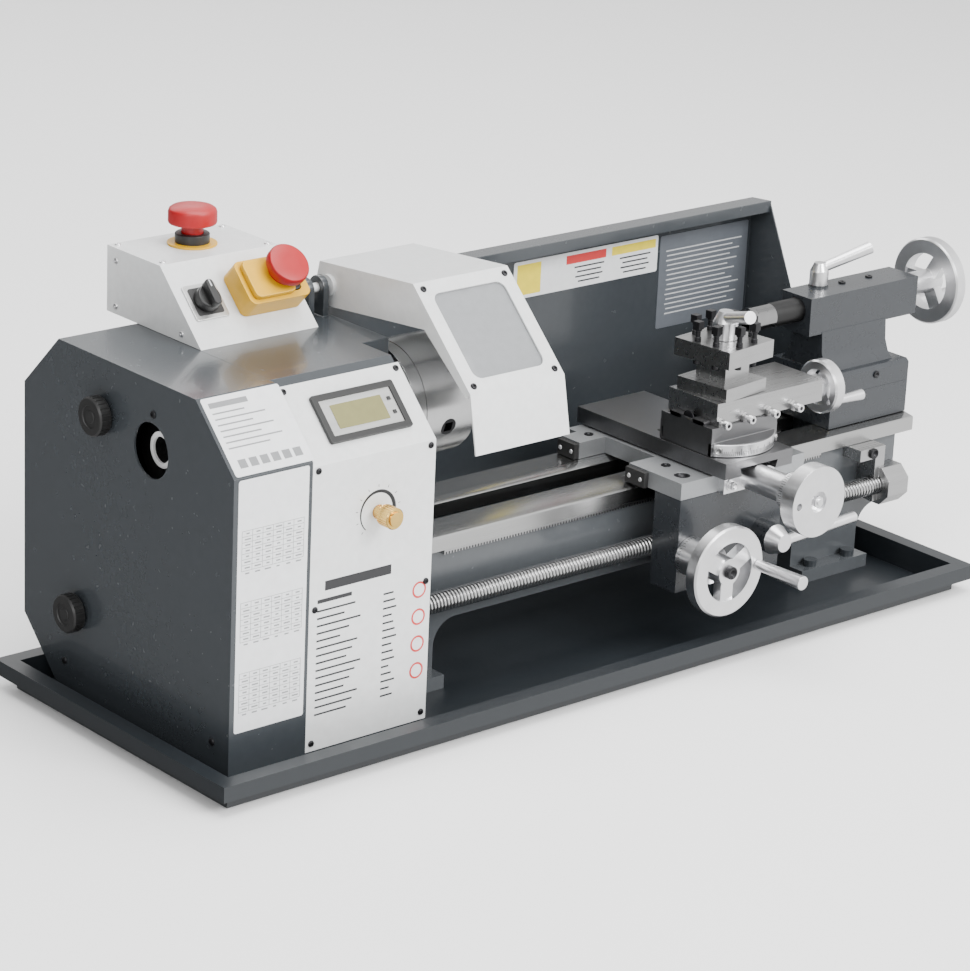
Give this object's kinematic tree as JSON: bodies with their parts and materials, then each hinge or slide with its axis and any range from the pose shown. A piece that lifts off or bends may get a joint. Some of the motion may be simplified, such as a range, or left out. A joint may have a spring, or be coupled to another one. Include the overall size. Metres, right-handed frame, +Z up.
{
  "type": "bench-top metal lathe",
  "caption": "Bench-top metal lathe in a chip tray: geared headstock with chuck and guard, carriage with cross slide and tool post, tailstock, and splash guard.",
  "frame": {"origin": "centre of the chip tray's underside, directly below the spindle axis", "axes": "+X along the bed from headstock to tailstock, -Y towards the operator, +Z up"},
  "size_m": [0.974, 0.3741, 0.389],
  "materials": {
    "machine_paint": "gloss",
    "sheet_white": "gloss",
    "black_plastic": "matte",
    "ground_steel": "ground",
    "satin_aluminium": "satin",
    "black_oxide": "black oxide",
    "gear_steel": "machined",
    "cast_iron": "machined",
    "machined_iron": "ground",
    "yellow_plastic": "gloss",
    "red_plastic": "gloss",
    "motor_paint": "satin",
    "belt_rubber": "matte",
    "wiper_rubber": "matte",
    "clear_window": "frosted",
    "brass": "satin"
  },
  "bodies": {
    "stand": {"chip_tray": "machine_paint", "bed": "machine_paint", "feed_rack": "ground_steel", "bed_fasteners": "black_oxide", "headstock_casting": "machine_paint", "headstock_housing": "machine_paint", "bearings": "ground_steel", "gear_quadrant": "cast_iron", "end_cover": "machine_paint", "front_panel": "sheet_white", "display_bezel": "black_plastic", "control_box": "sheet_white", "estop_collar": "yellow_plastic", "switch_housing": "yellow_plastic", "splash_guard": "machine_paint", "motor": "motor_paint", "drive_belt": "belt_rubber", "leadscrew_brackets": "cast_iron"},
    "spindle_body": {"spindle": "ground_steel", "spindle_drive": "gear_steel", "chuck_backplate": "cast_iron", "chuck_body": "ground_steel"},
    "jaw_a": {"chuck_jaw_1": "ground_steel"},
    "jaw_b": {"chuck_jaw_2": "ground_steel"},
    "jaw_c": {"chuck_jaw_3": "ground_steel"},
    "pinion": {"chuck_pinion": "black_oxide"},
    "motor_rotor": {"motor_pulley": "gear_steel"},
    "tumbler": {"tumbler_gear": "gear_steel"},
    "stud_gears": {"change_gears": "gear_steel"},
    "screw": {"lead_screw": "ground_steel"},
    "guard": {"chuck_guard": "sheet_white", "guard_window": "clear_window"},
    "estop": {"estop_button": "red_plastic"},
    "direction": {"direction_knob": "black_plastic"},
    "power": {"switch_paddle": "red_plastic"},
    "speed": {"speed_knob": "brass"},
    "knob_upper": {"cover_knob_upper": "black_plastic"},
    "knob_lower": {"cover_knob_lower": "black_plastic"},
    "carriage": {"saddle": "machined_iron", "apron": "machine_paint", "way_wipers": "wiper_rubber", "cross_screw_boss": "satin_aluminium"},
    "feed_wheel": {"apron_handwheel": "satin_aluminium"},
    "feed_wheel_handle": {"apron_handle": "satin_aluminium"},
    "half_nut_lever": {"feed_lever": "satin_aluminium"},
    "cross": {"cross_slide": "machined_iron"},
    "cross_wheel": {"cross_handwheel": "satin_aluminium"},
    "swivel": {"swivel_base": "machined_iron"},
    "top": {"top_slide": "ground_steel"},
    "top_wheel": {"top_handwheel": "satin_aluminium"},
    "top_wheel_handle": {"top_handle": "satin_aluminium"},
    "post": {"tool_post": "ground_steel", "tool_post_bolts": "black_oxide"},
    "post_lever": {"tool_post_lever": "satin_aluminium"},
    "tailstock": {"tailstock_base": "machine_paint", "tailstock_body": "machine_paint"},
    "quill_body": {"quill": "ground_steel"},
    "quill_lock": {"quill_lever": "satin_aluminium"},
    "tail_wheel": {"tail_handwheel": "satin_aluminium"},
    "tail_wheel_handle": {"tail_handle": "satin_aluminium"}
  },
  "joints": [
    {"name": "spindle_spin", "type": "hinge", "parent": "stand", "child": "spindle_body", "pos_m": [-0.2, 0, 0.2395], "axis": [1, 0, 0], "continuous": true},
    {"name": "jaw_a_slide", "type": "slide", "parent": "spindle_body", "child": "jaw_a", "axis": [0, -0.2351, -0.972], "range_m": [-0.005, 0.006]},
    {"name": "jaw_b_slide", "type": "slide", "parent": "spindle_body", "child": "jaw_b", "axis": [0, 0.9593, 0.2823], "range_m": [-0.005, 0.006]},
    {"name": "jaw_c_slide", "type": "slide", "parent": "spindle_body", "child": "jaw_c", "axis": [0, -0.7242, 0.6896], "range_m": [-0.005, 0.006]},
    {"name": "pinion_turn", "type": "hinge", "parent": "spindle_body", "child": "pinion", "pos_m": [-0.1183, 0, 0.2395], "axis": [0, -0.9593, -0.2823], "continuous": true},
    {"name": "motor_spin", "type": "hinge", "parent": "stand", "child": "motor_rotor", "pos_m": [-0.355, 0.108, 0.112], "axis": [1, 0, 0], "continuous": true},
    {"name": "tumbler_spin", "type": "hinge", "parent": "stand", "child": "tumbler", "pos_m": [-0.327, -0.00923, 0.18718], "axis": [1, 0, 0], "continuous": true},
    {"name": "stud_spin", "type": "hinge", "parent": "stand", "child": "stud_gears", "pos_m": [-0.333, -0.01132, 0.11409], "axis": [1, 0, 0], "continuous": true},
    {"name": "lead_screw_spin", "type": "hinge", "parent": "stand", "child": "screw", "pos_m": [0, -0.0615, 0.0812], "axis": [1, 0, 0], "continuous": true},
    {"name": "guard_lift", "type": "hinge", "parent": "stand", "child": "guard", "pos_m": [-0.17, 0.066, 0.322], "axis": [-1, 0, 0], "range_deg": [0, 75]},
    {"name": "estop_press", "type": "slide", "parent": "stand", "child": "estop", "axis": [0, 0, 1], "range_m": [-0.005, 0], "stiffness_N_per_m": 800, "springref_m": 0.002},
    {"name": "direction_turn", "type": "hinge", "parent": "stand", "child": "direction", "pos_m": [-0.282, 0.06327, 0.32881], "axis": [0, -0.7001, 0.714], "range_deg": [-45, 45]},
    {"name": "power_flap", "type": "hinge", "parent": "stand", "child": "power", "pos_m": [-0.226, 0.06113, 0.35527], "axis": [-1, 0, 0], "range_deg": [0, 60]},
    {"name": "speed_turn", "type": "hinge", "parent": "stand", "child": "speed", "pos_m": [-0.2415, -0.111, 0.197], "axis": [0, -1, 0], "range_deg": [-150, 120]},
    {"name": "upper_knob_turn", "type": "hinge", "parent": "stand", "child": "knob_upper", "pos_m": [-0.39, 0.058, 0.255], "axis": [1, 0, 0], "continuous": true},
    {"name": "lower_knob_turn", "type": "hinge", "parent": "stand", "child": "knob_lower", "pos_m": [-0.39, 0.092, 0.079], "axis": [1, 0, 0], "continuous": true},
    {"name": "carriage_slide", "type": "slide", "parent": "stand", "child": "carriage", "axis": [1, 0, 0], "range_m": [-0.15, 0.07]},
    {"name": "feed_wheel_turn", "type": "hinge", "parent": "carriage", "child": "feed_wheel", "pos_m": [0.111, -0.15, 0.083], "axis": [0, 1, 0], "continuous": true},
    {"name": "feed_handle_spin", "type": "hinge", "parent": "feed_wheel", "child": "feed_wheel_handle", "pos_m": [0.144, -0.17, 0.083], "axis": [0, 1, 0], "continuous": true},
    {"name": "half_nut_turn", "type": "hinge", "parent": "carriage", "child": "half_nut_lever", "pos_m": [0.194, -0.125, 0.086], "axis": [0, -1, 0], "range_deg": [0, 30]},
    {"name": "cross_feed", "type": "slide", "parent": "carriage", "child": "cross", "axis": [0, -1, 0], "range_m": [-0.045, 0.03]},
    {"name": "cross_wheel_turn", "type": "hinge", "parent": "carriage", "child": "cross_wheel", "pos_m": [0.17, -0.18, 0.146], "axis": [0, -1, 0], "range_deg": [-8101, 5401]},
    {"name": "compound_swivel", "type": "hinge", "parent": "cross", "child": "swivel", "pos_m": [0.17, -0.0685, 0.166], "axis": [0, 0, -1], "range_deg": [-45, 45]},
    {"name": "top_feed", "type": "slide", "parent": "swivel", "child": "top", "axis": [1, 0, 0], "range_m": [-0.03, 0.03]},
    {"name": "top_wheel_turn", "type": "hinge", "parent": "top", "child": "top_wheel", "pos_m": [0.288, -0.0685, 0.1925], "axis": [1, 0, 0], "range_deg": [-5401, 5401]},
    {"name": "top_handle_spin", "type": "hinge", "parent": "top_wheel", "child": "top_wheel_handle", "pos_m": [0.316, -0.08324, 0.18218], "axis": [1, 0, 0], "continuous": true},
    {"name": "post_turn", "type": "hinge", "parent": "top", "child": "post", "pos_m": [0.17, -0.0685, 0.2312], "axis": [0, 0, 1], "continuous": true},
    {"name": "post_lever_turn", "type": "hinge", "parent": "top", "child": "post_lever", "pos_m": [0.17, -0.0685, 0.2612], "axis": [0, 0, 1], "range_deg": [0, 110]},
    {"name": "tailstock_slide", "type": "slide", "parent": "stand", "child": "tailstock", "axis": [1, 0, 0], "range_m": [-0.07, 0]},
    {"name": "quill_feed", "type": "slide", "parent": "tailstock", "child": "quill_body", "axis": [-1, 0, 0], "range_m": [-0.028, 0.02]},
    {"name": "quill_lock_turn", "type": "hinge", "parent": "tailstock", "child": "quill_lock", "pos_m": [0.364, 0.0095, 0.26], "axis": [0, 0, 1], "range_deg": [-45, 30]},
    {"name": "tail_wheel_turn", "type": "hinge", "parent": "tailstock", "child": "tail_wheel", "pos_m": [0.5, 0, 0.2395], "axis": [-1, 0, 0], "range_deg": [-5040, 3600]},
    {"name": "tail_handle_spin", "type": "hinge", "parent": "tail_wheel", "child": "tail_wheel_handle", "pos_m": [0.52, 0.02032, 0.2135], "axis": [1, 0, 0], "continuous": true}
  ],
  "couplings": [
    {"joint": "motor_spin", "follows": "spindle_spin", "ratio": 2.25},
    {"joint": "tumbler_spin", "follows": "spindle_spin", "ratio": -0.88889},
    {"joint": "stud_spin", "follows": "spindle_spin", "ratio": 0.55556},
    {"joint": "lead_screw_spin", "follows": "spindle_spin", "ratio": -0.33333},
    {"joint": "jaw_b_slide", "follows": "jaw_a_slide", "ratio": 1},
    {"joint": "jaw_c_slide", "follows": "jaw_a_slide", "ratio": 1},
    {"joint": "feed_wheel_turn", "follows": "carriage_slide", "rad_per_m": 166.66},
    {"joint": "cross_wheel_turn", "follows": "cross_feed", "rad_per_m": 3141.6},
    {"joint": "top_wheel_turn", "follows": "top_feed", "rad_per_m": 3141.6},
    {"joint": "quill_feed", "follows": "tail_wheel_turn", "m_per_rad": 0.00031831}
  ]
}
